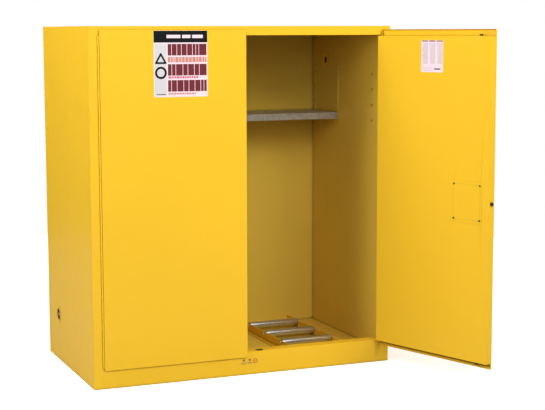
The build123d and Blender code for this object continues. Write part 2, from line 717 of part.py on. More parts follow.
def pan_fold(top):
    """Inner face of the pan's top or bottom fold, and which way leads into the door."""
    return (PAN_TOP - SHEET, -1) if top else (PAN_BOTTOM + SHEET, 1)


def catch_tip(top):
    """End of a catch's nose, standing in its strike."""
    return OPENING_TOP - STRIKE + CATCH_NIP if top else SILL_TOP - CATCH_NIP


def catch_barrel(top):
    """Blind tube behind the pan's fold that holds a catch and its spring."""
    edge, way = pan_fold(top)
    tube = bar_z(CATCH_BARREL_R, -BOLT_X, ROD_Y, edge, edge + way * (CATCH_BORE + CATCH_END))
    return tube - bar_z(CATCH_R + RUN_FIT, -BOLT_X, ROD_Y, edge - way, edge + way * CATCH_BORE)


def catch_nose(top):
    """Round-nosed plunger."""
    way = 1 if top else -1
    tip = catch_tip(top)
    nose = bar_z(CATCH_R, -BOLT_X, ROD_Y, tip - way * CATCH_LENGTH, tip)
    return fillet(nose.edges().group_by(Axis.Z)[-1 if top else 0], 3.0)


def catch_spring(top):
    """Compression coil between the barrel's end and the plunger."""
    edge, way = pan_fold(top)
    seat = edge + way * CATCH_BORE
    tail = catch_tip(top) + way * CATCH_LENGTH
    wire, play = 0.6, 0.1
    length = abs(tail - seat) - 2 * (wire + play)
    return Pos(-BOLT_X, ROD_Y, min(seat, tail) + wire + play) * coil(4.6, wire, 3.0, length)


# ---------------------------------------------------------------- vents and ground connector


def vent_flange(side, z):
    """Threaded sleeve through both walls, with a collar outside and a rim inside."""
    x_out = side * SIDE_X
    x_in = side * LINER_X
    x_rim = x_in - side * VENT_RIM
    sleeve = bar_x(VENT_SLEEVE_R, x_rim, x_out, VENT_Y, z)
    sleeve += bar_x(VENT_COLLAR_R, x_out, x_out + side * VENT_COLLAR, VENT_Y, z)
    sleeve += bar_x(VENT_RIM_R, x_rim, x_in, VENT_Y, z)
    sleeve -= bar_x(VENT_BORE_R, x_in, x_out + side * CUT, VENT_Y, z)
    return sleeve - bar_x(VENT_MOUTH_R, x_rim - side * CUT, x_in + side * CUT, VENT_Y, z)


def vent_screen(side, z):
    """Perforated flame arrester, set just inside the inner rim."""
    x0 = side * (LINER_X + 4)
    x1 = x0 + side * 1.5
    disc = bar_x(VENT_BORE_R, x0, x1, VENT_Y, z)
    for row in range(-3, 4):
        for col in range(-3, 4):
            dy = (col + (row % 2) / 2) * SCREEN_PITCH
            dz = row * SCREEN_PITCH * math.sqrt(3) / 2
            if math.hypot(dy, dz) < SCREEN_REACH:
                disc -= bar_x(SCREEN_HOLE_R, x0 - side * CUT, x1 + side * CUT, VENT_Y + dy, z + dz)
    return disc


def vent_plug(side, z):
    """Screw-in bung with a raised rim and a grip bar across its recess."""
    x_out = side * (SIDE_X - BUNG_INSET)
    recess = x_out - side * 5
    bung = bar_x(VENT_BORE_R, x_out - side * BUNG_DEPTH, x_out, VENT_Y, z)
    bung -= bar_x(VENT_BORE_R - BUNG_RIM, recess, x_out + side * CUT, VENT_Y, z)
    y0, y1 = VENT_Y - BUNG_BAR_HALF, VENT_Y + BUNG_BAR_HALF
    return bung + block(recess - side, x_out, y0, y1, z - BUNG_BAR_HEIGHT / 2, z + BUNG_BAR_HEIGHT / 2)


def hexagon_nut(x0):
    """Nut on the ground stud."""
    outline = Plane.YZ * RegularPolygon(NUT_ACROSS / 2, 6, major_radius=False)
    nut = Pos(x0, STUD_Y, STUD_Z) * extrude(outline, NUT_THICK)
    return nut - bar_x(STUD_CORE_R, x0 - CUT, x0 + NUT_THICK + CUT, STUD_Y, STUD_Z)


def ground_connector():
    """Earthing stud through the right side, with its washer and nuts."""
    x = SIDE_X
    nut_end = x + WASHER_THICK + NUT_THICK
    stud = bar_x(STUD_R, nut_end + 1, x + STUD_TIP, STUD_Y, STUD_Z)
    stud = chamfer(stud.edges().group_by(Axis.X)[-1], 0.8)
    stud += bar_x(STUD_CORE_R, x - 12, nut_end + 2, STUD_Y, STUD_Z)
    washer = bar_x(WASHER_R, x, x + WASHER_THICK, STUD_Y, STUD_Z)
    washer -= bar_x(STUD_R, x - CUT, x + CUT, STUD_Y, STUD_Z)
    return [stud, washer, hexagon_nut(x - SHEET - NUT_THICK), hexagon_nut(x + WASHER_THICK)]


# ---------------------------------------------------------------- shelf


def shelf():
    """Half-depth galvanised shelf, its four edges folded down and the front one hemmed."""
    x = SHELF_X
    low = SHELF_TOP - SHELF_LIP
    tray = block(-x, x, SHELF_FRONT, SHELF_BACK, SHELF_TOP - SHEET, SHELF_TOP)
    tray += block(-x, x, SHELF_FRONT, SHELF_FRONT + SHEET, low, SHELF_TOP)
    tray += block(-x, x, SHELF_FRONT, SHELF_FRONT + SHELF_HEM, low, low + SHEET)
    tray += block(-x, x, SHELF_BACK - SHEET, SHELF_BACK, low, SHELF_TOP)
    for side in (-1, 1):
        tray += block(side * x, side * (x - SHEET), SHELF_FRONT, SHELF_BACK, low, SHELF_TOP)
    return tray


def shelf_hanger(side, y):
    """Strap hung over the wall's tabs, with a foot that the shelf stands on."""
    low = SHELF_TOP - SHELF_LIP - 0.3
    tail = low - HANGER_TAIL
    x = side * LINER_X
    face = x - side * HANGER_STAND
    y0, y1 = y - HANGER_WIDTH / 2, y + HANGER_WIDTH / 2
    strap = block(face, face + side * HANGER_SHEET, y0, y1, tail, HANGER_TOP)
    for edge in (y0, y1 - HANGER_SHEET):
        strap += block(face, x, edge, edge + HANGER_SHEET, tail, HANGER_TOP)
    strap += block(face, x - side * HANGER_FOOT, y0, y1, low - HANGER_SHEET, low)
    strap += block(face, x - side * (HANGER_FOOT - 6), y - 1, y + 1, tail + 2, low - 1)
    half = SLOT_CUP_R + SLOT_CUP_ROOM
    for z in SLOT_ROWS:
        strap -= block(x - side * 9, x - side, y - half, y + half, z - half, z + SLOT_CUP_ROOM)
    return strap


# ---------------------------------------------------------------- drum roller carriages


def drum_rail(carriage, hand):
    """Angle rail on the floor, its foot turned away from the rollers."""
    web = carriage * CARRIAGE_X + hand * RAIL_X
    half = RAIL_HALF_LENGTH
    rail = block(web, web + hand * RAIL_SHEET, -half, half, FLOOR_Z, RAIL_TOP)
    rail += block(web, web + hand * RAIL_FOOT, -half, half, FLOOR_Z, FLOOR_Z + RAIL_SHEET)
    for y in ROLLER_YS:
        rail -= bar_x(AXLE_R, web - CUT, web + CUT, y, ROLLER_TOP - ROLLER_R)
    return rail


def roller_axle(carriage, y):
    """Fixed axle with a shoulder head outside each web."""
    z = ROLLER_TOP - ROLLER_R
    x0 = carriage * CARRIAGE_X
    reach = RAIL_X + RAIL_SHEET
    axle = bar_x(AXLE_R, x0 - reach - 4, x0 + reach + 4, y, z)
    for hand in (-1, 1):
        head = x0 + hand * reach
        axle += bar_x(AXLE_HEAD_R, head, head + hand * AXLE_HEAD, y, z)
    return axle


def drum_roller(carriage, y):
    """Steel tube roller that turns on its axle."""
    z = ROLLER_TOP - ROLLER_R
    x0 = carriage * CARRIAGE_X
    half = RAIL_X - ROLLER_END_GAP
    tube = bar_x(ROLLER_R, x0 - half, x0 + half, y, z)
    tube = chamfer(tube.edges().filter_by(GeomType.CIRCLE), 1.0)
    return tube - bar_x(AXLE_R + RUN_FIT, x0 - half - CUT, x0 + half + CUT, y, z)


# ---------------------------------------------------------------- assembly


def save_body():
    save("outer_side_right", outer_side_right())
    save("outer_side_left", vent_cut(mirrored(outer_side()), -1, VENT_LOW_Z))
    save("outer_back", outer_back())
    save("outer_top", outer_top())
    save("base_pan", base_pan())
    save("liner_side_right", vent_cut(liner_side(), 1, VENT_HIGH_Z))
    save("liner_side_left", vent_cut(mirrored(liner_side()), -1, VENT_LOW_Z))
    save("liner_back", liner_back())
    save("liner_ceiling", liner_ceiling())
    save("spill_floor", spill_floor())
    save("frame_stile_right", stile())
    save("frame_stile_left", mirrored(stile()))
    save("frame_header", header())
    save("frame_sill", sill())
    save("strike_plates", *strike_plates())
    places = ((-1, VENT_LOW_Z), (1, VENT_HIGH_Z))
    save("vent_flanges", *[vent_flange(*place) for place in places])
    save("vent_screens", *[vent_screen(*place) for place in places])
    save("vent_plugs", *[vent_plug(*place) for place in places])
    save("ground_connector", *ground_connector())
    for i, (fx, fy) in enumerate(foot_places(), 1):
        save(f"levelling_foot_{i}", levelling_foot(fx, fy))


def outer_side_right():
    """Right outer skin, bored for the ground stud and the high vent."""
    skin = outer_side() - bar_x(STUD_R, SIDE_X - 5, SIDE_X + 5, STUD_Y, STUD_Z)
    return vent_cut(skin, 1, VENT_HIGH_Z)


def save_hinges():
    save("hinge_frame_leaves", frame_leaf(), mirrored(frame_leaf()))
    save("hinge_pins", hinge_pin(), mirrored(hinge_pin()))
    save("hinge_door_leaf_right", opened(door_leaf()))
    save("hinge_door_leaf_left", mirrored(door_leaf()))


def save_doors():
    save("door_right_skin", opened(right_skin()))
    save("door_right_pan", opened(right_pan()))
    save("door_left_skin", left_skin())
    save("door_left_pan", left_pan())
    save("edge_strike", edge_strike())
    save("catch_barrels", catch_barrel(True), catch_barrel(False))
    for name, top in (("top", True), ("bottom", False)):
        save(f"catch_nose_{name}", catch_nose(top))
        save(f"catch_spring_{name}", catch_spring(top))


def save_latch():
    save("latch_cover", opened(latch_cover()))
    save("cover_screws", *[opened(cover_screw(x, z)) for x, z in cover_screw_places()])
    save("latch_escutcheon", opened(escutcheon()))
    save("latch_chassis", opened(latch_chassis()))
    save("latch_handle", opened(latch_handle()))
    save("lock_plug", opened(lock_plug()))
    save("latch_cam", opened(latch_cam()))
    save("latch_rod_top", opened(rod_top()))
    save("latch_rod_bottom", opened(rod_bottom()))
    save("latch_bolt_middle", opened(bolt_mid()))
    save("bolt_guides", *[opened(guide) for guide in bolt_guides()])
    save("handle_spring", opened(handle_spring()))


def save_inside():
    save("shelf", shelf())
    save("shelf_hangers", *[shelf_hanger(side, y) for side in (-1, 1) for y in HANGER_COLUMNS])
    save("drum_rails", *[drum_rail(c, hand) for c in (-1, 1) for hand in (-1, 1)])
    save("roller_axles", *[roller_axle(c, y) for c in (-1, 1) for y in ROLLER_YS])
    for name, carriage in (("left", -1), ("right", 1)):
        for i, y in enumerate(ROLLER_YS, 1):
            save(f"drum_roller_{name}_{i}", drum_roller(carriage, y))


os.makedirs("parts", exist_ok=True)
save_body()
save_hinges()
save_doors()
save_latch()
save_inside()
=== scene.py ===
"""Two-door drum safety cabinet: enamel, metal, labels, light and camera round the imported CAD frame.

Metres, in the CAD's own frame: +Z up, the doors face -Y, the origin on the floor under the centre.
"""
import math
import random

import bmesh
import bpy
from mathutils import Matrix, Vector
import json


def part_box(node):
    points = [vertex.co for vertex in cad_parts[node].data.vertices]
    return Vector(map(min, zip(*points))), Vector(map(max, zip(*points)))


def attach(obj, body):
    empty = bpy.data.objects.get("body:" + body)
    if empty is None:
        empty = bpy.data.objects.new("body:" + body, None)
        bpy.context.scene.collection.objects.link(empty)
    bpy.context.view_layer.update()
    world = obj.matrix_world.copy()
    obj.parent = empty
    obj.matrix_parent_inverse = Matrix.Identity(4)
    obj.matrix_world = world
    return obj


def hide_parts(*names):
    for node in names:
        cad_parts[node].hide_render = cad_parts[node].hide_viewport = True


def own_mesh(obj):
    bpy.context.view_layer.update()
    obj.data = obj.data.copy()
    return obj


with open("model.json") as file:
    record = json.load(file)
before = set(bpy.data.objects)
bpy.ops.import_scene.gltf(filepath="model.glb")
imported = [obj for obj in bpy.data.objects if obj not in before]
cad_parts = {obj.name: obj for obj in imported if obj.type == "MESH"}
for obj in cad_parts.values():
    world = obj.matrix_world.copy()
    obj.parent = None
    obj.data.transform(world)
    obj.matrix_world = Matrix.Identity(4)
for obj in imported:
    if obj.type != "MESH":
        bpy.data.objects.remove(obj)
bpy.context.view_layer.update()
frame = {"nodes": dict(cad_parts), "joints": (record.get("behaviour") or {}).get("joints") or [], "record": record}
NODES = frame["nodes"]
MM = 0.001

# ---- colours, linear ----
YELLOW = (0.86, 0.515, 0.024)
# the liner's yellow: a darker, greyer copy of the outside's, as painted shade of the cabinet's inside
LINER_SHADED_YELLOW = (0.74, 0.50, 0.060)
ZINC = (0.60, 0.60, 0.58)
GALVANISED = (0.50, 0.50, 0.48)
DARK_STEEL = (0.070, 0.066, 0.062)
BLACK = (0.012, 0.012, 0.013)
DUST = (0.05, 0.05, 0.05)
VINYL = (0.86, 0.68, 0.74)

# ---- camera, fitted to the photograph's perspective ----
CAMERA_AT = (-2.35499, -6.45277, 1.62281)
CAMERA_YAW = 0.39165
CAMERA_PITCH = 0.12421
CAMERA_ROLL = -0.00247
FOCAL_PX = 1386.1
IMAGE_WIDTH = 545
SENSOR = 36.0
CLIP_END = 60

# ---- floor: a pale sheet that fades to the backdrop ----
FLOOR_R = 4.5
FLOOR_SINK = 0.0005
FLOOR_PAPER = 0.92
FLOOR_BOUNCE = 0.35                # what the object sees of the floor
FLOOR_GLOW = (0.34, 1.0)           # emission near the object and at the rim
FLOOR_GLOW_FROM = 1.4

# ---- soft boxes: place and power in watts, all aimed at the cabinet ----
LIGHT_TARGET = (0.0, -0.4, 0.8)
LIGHT_SIZE = 2.6
LIGHTS = {
    "front_box": ((0.1, -4.8, 4.2), 98),
    "front_left_box": ((-1.8, -5.0, 3.0), 80),
    "side_box": ((-5.5, -2.2, 2.4), 60),
    "front_right_box": ((2.5, -5.0, 3.5), 178),
    "high_left_box": ((-3.5, -0.5, 4.0), 180),
    "back_box": ((-1.6, 5.4, 3.4), 170),
    "right_box": ((5.4, 1.6, 3.0), 150),
}
GLOSSY_LIGHTS = ("front_box", "front_left_box", "side_box", "right_box")
WORLD_SEEN = 1.0
WORLD_LIT = 0.03


# ---------------------------------------------------------------- camera and stage


def make_camera():
    data = bpy.data.cameras.new("camera")
    data.sensor_width = SENSOR
    data.lens = FOCAL_PX / IMAGE_WIDTH * SENSOR
    data.clip_end = CLIP_END
    camera = bpy.data.objects.new("camera", data)
    bpy.context.scene.collection.objects.link(camera)
    forward = Vector((
        math.sin(CAMERA_YAW) * math.cos(CAMERA_PITCH),
        math.cos(CAMERA_YAW) * math.cos(CAMERA_PITCH),
        -math.sin(CAMERA_PITCH),
    ))
    right = Vector((math.cos(CAMERA_YAW), -math.sin(CAMERA_YAW), 0))
    up = right.cross(forward)
    turn = Matrix((right, up, -forward)).transposed() @ Matrix.Rotation(CAMERA_ROLL, 3, "Z")
    camera.matrix_world = Matrix.Translation(CAMERA_AT) @ turn.to_4x4()
    bpy.context.scene.camera = camera


def soft_box(name, at, power):
    data = bpy.data.lights.new(name, "AREA")
    data.shape = "SQUARE"
    data.size = LIGHT_SIZE
    data.energy = power
    light = bpy.data.objects.new(name, data)
    light.location = at
    aim = Vector(LIGHT_TARGET) - Vector(at)
    light.rotation_mode = "QUATERNION"
    light.rotation_quaternion = aim.to_track_quat("-Z", "Y")
    bpy.context.scene.collection.objects.link(light)
    light.visible_camera = False
    light.visible_glossy = name in GLOSSY_LIGHTS


def make_world():
    """A white backdrop for the camera and a softer white light for the object."""
    world = bpy.data.worlds.new("studio")
    bpy.context.scene.world = world
    world.use_nodes = True
    tree = world.node_tree
    tree.nodes.clear()
    out = tree.nodes.new("ShaderNodeOutputWorld")
    mix = tree.nodes.new("ShaderNodeMixShader")
    path = tree.nodes.new("ShaderNodeLightPath")
    for index, strength in ((1, WORLD_LIT), (2, WORLD_SEEN)):
        back = tree.nodes.new("ShaderNodeBackground")
        back.inputs["Color"].default_value = (1, 1, 1, 1)
        back.inputs["Strength"].default_value = strength
        tree.links.new(back.outputs[0], mix.inputs[index])
    tree.links.new(path.outputs["Is Camera Ray"], mix.inputs[0])
    tree.links.new(mix.outputs[0], out.inputs["Surface"])


def make_floor():
    """Pale round sheet that brightens to the backdrop's white at its rim, with a subdued bounce."""
    bm = bmesh.new()
    bmesh.ops.create_circle(bm, cap_ends=True, segments=96, radius=FLOOR_R)
    mesh = bpy.data.meshes.new("floor")
    bm.to_mesh(mesh)
    bm.free()
    floor = bpy.data.objects.new("floor", mesh)
    floor.location.z = -FLOOR_SINK
    bpy.context.scene.collection.objects.link(floor)
    s = Surface("floor_paper", (FLOOR_PAPER, FLOOR_PAPER, FLOOR_PAPER), 0.9)
    s.shader.inputs["Specular IOR Level"].default_value = 0.1
    s.shader.inputs["Emission Color"].default_value = (1, 1, 1, 1)
    distance = s.tree.nodes.new("ShaderNodeVectorMath")
    distance.operation = "LENGTH"
    s.link(s.place, distance.inputs[0])
    glow = s.remap(distance.outputs["Value"], *FLOOR_GLOW, FLOOR_GLOW_FROM, FLOOR_R)
    s.link(glow, s.shader.inputs["Emission Strength"])
    bounce = s.tree.nodes.new("ShaderNodeBsdfDiffuse")
    bounce.inputs["Color"].default_value = (FLOOR_BOUNCE, FLOOR_BOUNCE, FLOOR_BOUNCE, 1)
    path = s.tree.nodes.new("ShaderNodeLightPath")
    mix = s.tree.nodes.new("ShaderNodeMixShader")
    s.link(path.outputs["Is Camera Ray"], mix.inputs[0])
    s.link(bounce.outputs[0], mix.inputs[1])
    s.link(s.shader.outputs[0], mix.inputs[2])
    s.link(mix.outputs[0], s.tree.nodes["Material Output"].inputs["Surface"])
    mesh.materials.append(s.material)


# ---------------------------------------------------------------- procedural materials


class Surface:
    """A Principled material with small helpers for its node tree."""

    def __init__(self, name, colour, roughness, metallic=0.0):
        self.material = bpy.data.materials.new(name)
        self.material.use_nodes = True
        self.material.diffuse_color = (*colour, 1)
        self.tree = self.material.node_tree
        self.shader = self.tree.nodes["Principled BSDF"]
        self.shader.inputs["Base Color"].default_value = (*colour, 1)
        self.shader.inputs["Roughness"].default_value = roughness
        self.shader.inputs["Metallic"].default_value = metallic
        self.place = self.tree.nodes.new("ShaderNodeTexCoord").outputs["Object"]

    def link(self, a, b):
        self.tree.links.new(a, b)

    def noise(self, scale, detail=2.0, rough=0.5, stretch=None):
        node = self.tree.nodes.new("ShaderNodeTexNoise")
        node.inputs["Scale"].default_value = scale
        node.inputs["Detail"].default_value = detail
        node.inputs["Roughness"].default_value = rough
        source = self.place
        if stretch:
            mapping = self.tree.nodes.new("ShaderNodeMapping")
            mapping.inputs["Scale"].default_value = stretch
            self.link(self.place, mapping.inputs["Vector"])
            source = mapping.outputs[0]
        self.link(source, node.inputs["Vector"])
        return node.outputs["Fac"]

    def cells(self, scale, output="Color"):
        node = self.tree.nodes.new("ShaderNodeTexVoronoi")
        node.inputs["Scale"].default_value = scale
        self.link(self.place, node.inputs["Vector"])
        return node.outputs[output]

    def remap(self, value, low, high, from_low=0.25, from_high=0.75):
        node = self.tree.nodes.new("ShaderNodeMapRange")
        node.inputs["From Min"].default_value = from_low
        node.inputs["From Max"].default_value = from_high
        node.inputs["To Min"].default_value = low
        node.inputs["To Max"].default_value = high
        self.link(value, node.inputs["Value"])
        return node.outputs[0]

    def mix(self, factor, a, b):
        """Mix of two colours, each a socket or a linear RGB."""
        node = self.tree.nodes.new("ShaderNodeMix")
        node.data_type = "RGBA"
        self.feed(factor, node.inputs["Factor"])
        for value, socket in ((a, node.inputs[6]), (b, node.inputs[7])):
            self.feed(value, socket)
        return node.outputs[2]

    def feed(self, value, socket):
        if isinstance(value, bpy.types.NodeSocket):
            self.link(value, socket)
        elif isinstance(value, (tuple, list)):
            socket.default_value = (*value, 1)
        else:
            socket.default_value = value

    def colour(self, socket):
        self.link(socket, self.shader.inputs["Base Color"])

    def roughness(self, socket):
        self.link(socket, self.shader.inputs["Roughness"])

    def bump(self, height, strength, distance, after=None):
        node = self.tree.nodes.new("ShaderNodeBump")
        node.inputs["Strength"].default_value = strength
        node.inputs["Distance"].default_value = distance
        self.link(height, node.inputs["Height"])
        if after is not None:
            self.link(after, node.inputs["Normal"])
        self.link(node.outputs[0], self.shader.inputs["Normal"])
        return node.outputs[0]

    def painted_shade(self, reach):
        """Ambient occlusion as a mask for painted shade: 0 deep in a folded joint or gap, 1 on open sheet."""
        node = self.tree.nodes.new("ShaderNodeAmbientOcclusion")
        node.samples = 6
        node.inputs["Distance"].default_value = reach
        return self.remap(node.outputs["AO"], 0, 1, PAINTED_SHADE_DEEP, PAINTED_SHADE_OPEN)

    def coat(self, weight, roughness):
        self.shader.inputs["Coat Weight"].default_value = weight
        self.shader.inputs["Coat Roughness"].default_value = roughness


# painted shade: the enamel's colour darkens where ambient occlusion finds a fold or gap
PAINTED_SHADE_REACH = 0.020
PAINTED_SHADE_DEEP = 0.30                # openness at and below which a fold takes the full painted shade
PAINTED_SHADE_OPEN = 0.72                # openness from which sheet keeps its own colour
PAINTED_SHADE_KEEP = 0.22               # share of the colour left under the painted shade in a fold
PEEL = 0.16                        # strength of the coat's orange peel


def shade(colour, factor):
    return tuple(c * factor for c in colour)


def powder_coat(name, colour, roughness=0.38, tone=0.035):
    """Satin powder coat: cloudy film thickness, fine orange peel, painted shade in folds and gaps."""
    s = Surface(name, colour, roughness)
    clouds = s.noise(2.6, 3.0, 0.55)
    flow = s.noise(38.0, 2.0, 0.5)
    base = s.mix(s.remap(clouds, 0, 1), shade(colour, 1 - tone), colour)
    base = s.mix(s.remap(flow, 0, 0.5), base, shade(colour, 1 - tone * 0.7))
    # painted shade in folds and gaps, from ambient occlusion
    s.colour(s.mix(s.painted_shade(PAINTED_SHADE_REACH), shade(colour, PAINTED_SHADE_KEEP), base))
    s.roughness(s.remap(s.noise(11.0, 4.0, 0.6), roughness - 0.05, roughness + 0.07))
    grain = s.bump(s.noise(430.0, 2.0, 0.5), PEEL, 0.0004)
    s.bump(s.noise(9.0, 1.0, 0.4), 0.10, 0.0012, grain)
    s.coat(0.05, 0.25)
    s.shader.inputs["Specular IOR Level"].default_value = 0.24
    return s.material


def galvanised_sheet():
    """Hot-dip sheet: spangle crystals of different brightness, faint rolling streaks."""
    s = Surface("galvanised_spangle", GALVANISED, 0.42, 0.85)
    crystal = s.remap(s.cells(95.0), 0, 1, 0.1, 0.9)
    base = s.mix(crystal, shade(GALVANISED, 0.80), shade(GALVANISED, 1.15))
    streak = s.remap(s.noise(30.0, 3.0, 0.5, (0.15, 4, 4)), 0, 0.5)
    s.colour(s.mix(streak, base, (0.44, 0.43, 0.40)))
    s.roughness(s.remap(s.cells(95.0), 0.34, 0.52, 0.0, 1.0))
    s.bump(s.cells(95.0, "Distance"), 0.08, 0.0003)
    return s.material


def plated_steel(name, colour, roughness, turned):
    """Plated or oiled steel: fine machining lines, blotches where the finish thins."""
    s = Surface(name, colour, roughness, 0.92)
    blotch = s.noise(60.0, 4.0, 0.6)
    base = s.mix(s.remap(blotch, 0, 1), shade(colour, 0.82), shade(colour, 1.12))
    s.colour(base)
    lines = s.noise(900.0, 2.0, 0.5, turned)
    s.roughness(s.remap(lines, roughness - 0.08, roughness + 0.10))
    s.bump(lines, 0.10, 0.0001)
    return s.material


def black_coat(name, colour):
    """Black enamel over a casting: soft orange peel and a little dust in the low spots."""
    s = Surface(name, colour, 0.42)
    dust = s.remap(s.noise(140.0, 4.0, 0.6), 0, 0.35)
    s.colour(s.mix(dust, colour, DUST))
    s.roughness(s.remap(s.noise(70.0, 3.0, 0.5), 0.34, 0.52))
    s.bump(s.noise(520.0, 2.0, 0.5), 0.22, 0.0004)
    return s.material


def printed(name, colour, roughness=0.45, tone=0.12):
    """Printed vinyl: a fine ink mottle and the film's own slight texture."""
    s = Surface(name, colour, roughness)
    mottle = s.remap(s.noise(700.0, 2.0, 0.6), 0, 1)
    fade = s.remap(s.noise(16.0, 2.0, 0.5), 0, 0.6)
    base = s.mix(mottle, colour, shade(colour, 1 - tone))
    s.colour(s.mix(fade, base, shade(colour, 1 - tone * 0.5)))
    s.roughness(s.remap(s.noise(90.0, 2.0, 0.5), roughness - 0.06, roughness + 0.08))
    s.bump(s.noise(320.0, 1.0, 0.5), 0.05, 0.0002)
    s.shader.inputs["Specular IOR Level"].default_value = 0.1
    return s.material


VINYL_FILM = printed("label_film", VINYL, 0.38, 0.03)
FILM_GREY = printed("film_grey", (0.64, 0.62, 0.63), 0.40, 0.05)
INK_BLACK = printed("ink_black", (0.009, 0.011, 0.011))
INK_RED = printed("ink_red", (0.17, 0.030, 0.040))
INK_SALMON = printed("ink_salmon", (0.62, 0.25, 0.19))
INK_ROSE = printed("ink_rose", (0.72, 0.13, 0.22))
INK_BROWN = printed("ink_brown", (0.26, 0.12, 0.09))
INK_RUST = printed("ink_rust", (0.62, 0.22, 0.03))
INK_FAINT = printed("ink_faint", (0.46, 0.43, 0.44))
# pinkish metal for the vent bung's patch: a painted highlight
GLINT_METAL = plated_steel("painted_glint_metal", (0.80, 0.66, 0.62), 0.42, (6, 1, 1))

MATERIALS = {
    "yellow_enamel": powder_coat("yellow_powder_coat", YELLOW),
    "galvanised": galvanised_sheet(),
    "bright_zinc": plated_steel("zinc_plate", ZINC, 0.30, (1, 6, 0.4)),
    "dark_steel": plated_steel("oiled_steel", DARK_STEEL, 0.36, (1, 1, 5)),
    "black_enamel": black_coat("black_enamel", BLACK),
    "handle_enamel": black_coat("handle_enamel", (0.018, 0.018, 0.020)),
}

# the liner's copy of the powder coat: rougher, and darker in colour as painted shade
LINER_SHADED_ENAMEL = powder_coat("liner_shaded_coat", LINER_SHADED_YELLOW, 0.50, 0.06)
LINER_NODES = ("liner_side_right", "liner_side_left", "liner_back", "liner_ceiling",
               "spill_floor", "shelf_hangers")


def paint_nodes():
    """Every CAD node takes its slot's finish; the liner takes a rougher copy of the yellow, darker and greyer as
    painted shade for the cabinet's inside.
    """
    for part in frame["record"]["subparts"]:
        obj = NODES[part["node"]]
        material = LINER_SHADED_ENAMEL if part["node"] in LINER_NODES else MATERIALS[part["material_slot"]]
        obj.data.materials.clear()
        obj.data.materials.append(material)


# ---------------------------------------------------------------- softened edges


# bevel width of each slot, millimetres
BEVELS = {
    "yellow_enamel": 0.5,
    "galvanised": 0.4,
    "bright_zinc": 0.35,
    "dark_steel": 0.35,
    "black_enamel": 0.6,
    "handle_enamel": 0.8,
}
WELD_GAP = 0.00001
DISSOLVE_NODES = ("outer_side_right", "outer_side_left")    # big sheets with small holes near a corner
DISSOLVE_ANGLE = 0.5               # degrees
BEVEL_ANGLE = 40                   # degrees


def soften(obj, width, dissolve):
    """Folded and cut edges get a small real radius."""
    weld = obj.modifiers.new("weld", "WELD")
    weld.merge_threshold = WELD_GAP
    if dissolve:
        flat = obj.modifiers.new("flat", "DECIMATE")
        flat.decimate_type = "DISSOLVE"
        flat.angle_limit = math.radians(DISSOLVE_ANGLE)
    bevel = obj.modifiers.new("bevel", "BEVEL")
    bevel.width = width * MM
    bevel.segments = 2
    bevel.limit_method = "ANGLE"
    bevel.angle_limit = math.radians(BEVEL_ANGLE)
    bevel.use_clamp_overlap = True
    bevel.harden_normals = False


def soften_nodes():
    for part in frame["record"]["subparts"]:
        node = part["node"]
        soften(NODES[node], BEVELS[part["material_slot"]], node in DISSOLVE_NODES)


# ---------------------------------------------------------------- labels


class Panel:
    """Flat printed shapes on a vertical face, in the plane's own (across, up) millimetres."""

    def __init__(self, name, origin, across, outward, body, materials):
        self.name = name
        self.bm = bmesh.new()
        self.origin = Vector(origin)
        self.across = Vector(across).normalized()
        self.up = Vector((0, 0, 1))
        self.outward = Vector(outward).normalized()
        self.body = body
        self.materials = materials

    def point(self, u, v, w):
        return self.origin + (self.across * u + self.up * v + self.outward * w) * MM

    def plate(self, outline, low, high, ink):
        """Solid plate over an outline, between two heights off the face."""
        rings = [[self.bm.verts.new(self.point(u, v, w)) for u, v in outline] for w in (low, high)]
        faces = [self.bm.faces.new(rings[1]), self.bm.faces.new(list(reversed(rings[0])))]
        count = len(outline)
        for i in range(count):
            j = (i + 1) % count
            faces.append(self.bm.faces.new((rings[0][i], rings[0][j], rings[1][j], rings[1][i])))
        for face in faces:
            face.material_index = ink

    def ring(self, outer, inner, low, high, ink):
        """Solid band between two outlines with the same number of points."""
        count = len(outer)
        loops = []
        for outline, w in ((outer, low), (outer, high), (inner, high), (inner, low)):
            loops.append([self.bm.verts.new(self.point(u, v, w)) for u, v in outline])
        for a in range(4):
            b = (a + 1) % 4
            for i in range(count):
                j = (i + 1) % count
                face = self.bm.faces.new((loops[a][i], loops[a][j], loops[b][j], loops[b][i]))
                face.material_index = ink

    def finish(self):
        bmesh.ops.recalc_face_normals(self.bm, faces=self.bm.faces)
        mesh = bpy.data.meshes.new(self.name)
        self.bm.to_mesh(mesh)
        self.bm.free()
        obj = bpy.data.objects.new(self.name, mesh)
        bpy.context.scene.collection.objects.link(obj)
        for material in self.materials:
            mesh.materials.append(material)
        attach(obj, self.body)


def rounded(u0, u1, v0, v1, radius, steps=5):
    """Outline of a rectangle with rounded corners, counter-clockwise."""
    corners = ((u1 - radius, v0 + radius, -90), (u1 - radius, v1 - radius, 0),
               (u0 + radius, v1 - radius, 90), (u0 + radius, v0 + radius, 180))
    points = []
    for cu, cv, start in corners:
        for i in range(steps + 1):
            a = math.radians(start + 90 * i / steps)
            points.append((cu + radius * math.cos(a), cv + radius * math.sin(a)))
    return points


def circle(cu, cv, radius, steps=40):
    turns = [2 * math.pi * i / steps for i in range(steps)]
    return [(cu + radius * math.cos(a), cv + radius * math.sin(a)) for a in turns]


# ---- printed layers, millimetres ----
SEAT = 0.01                        # a printed piece's back, off the face that it sits on
FILM = 0.15                        # label film thickness
LAYER = 0.04                       # one layer of ink
FILM_CORNER = 3
INK_CORNER = 1.2

# ---- the open door's inner face ----
SWING = next(j for j in frame["joints"] if j["name"] == "door_right_swing")
OPEN_ANGLE = -math.radians(SWING["range_deg"][0])
HINGE = Vector(SWING["pos_m"])
PAN_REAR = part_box("door_left_pan")[1].y    # inner face of a closed door

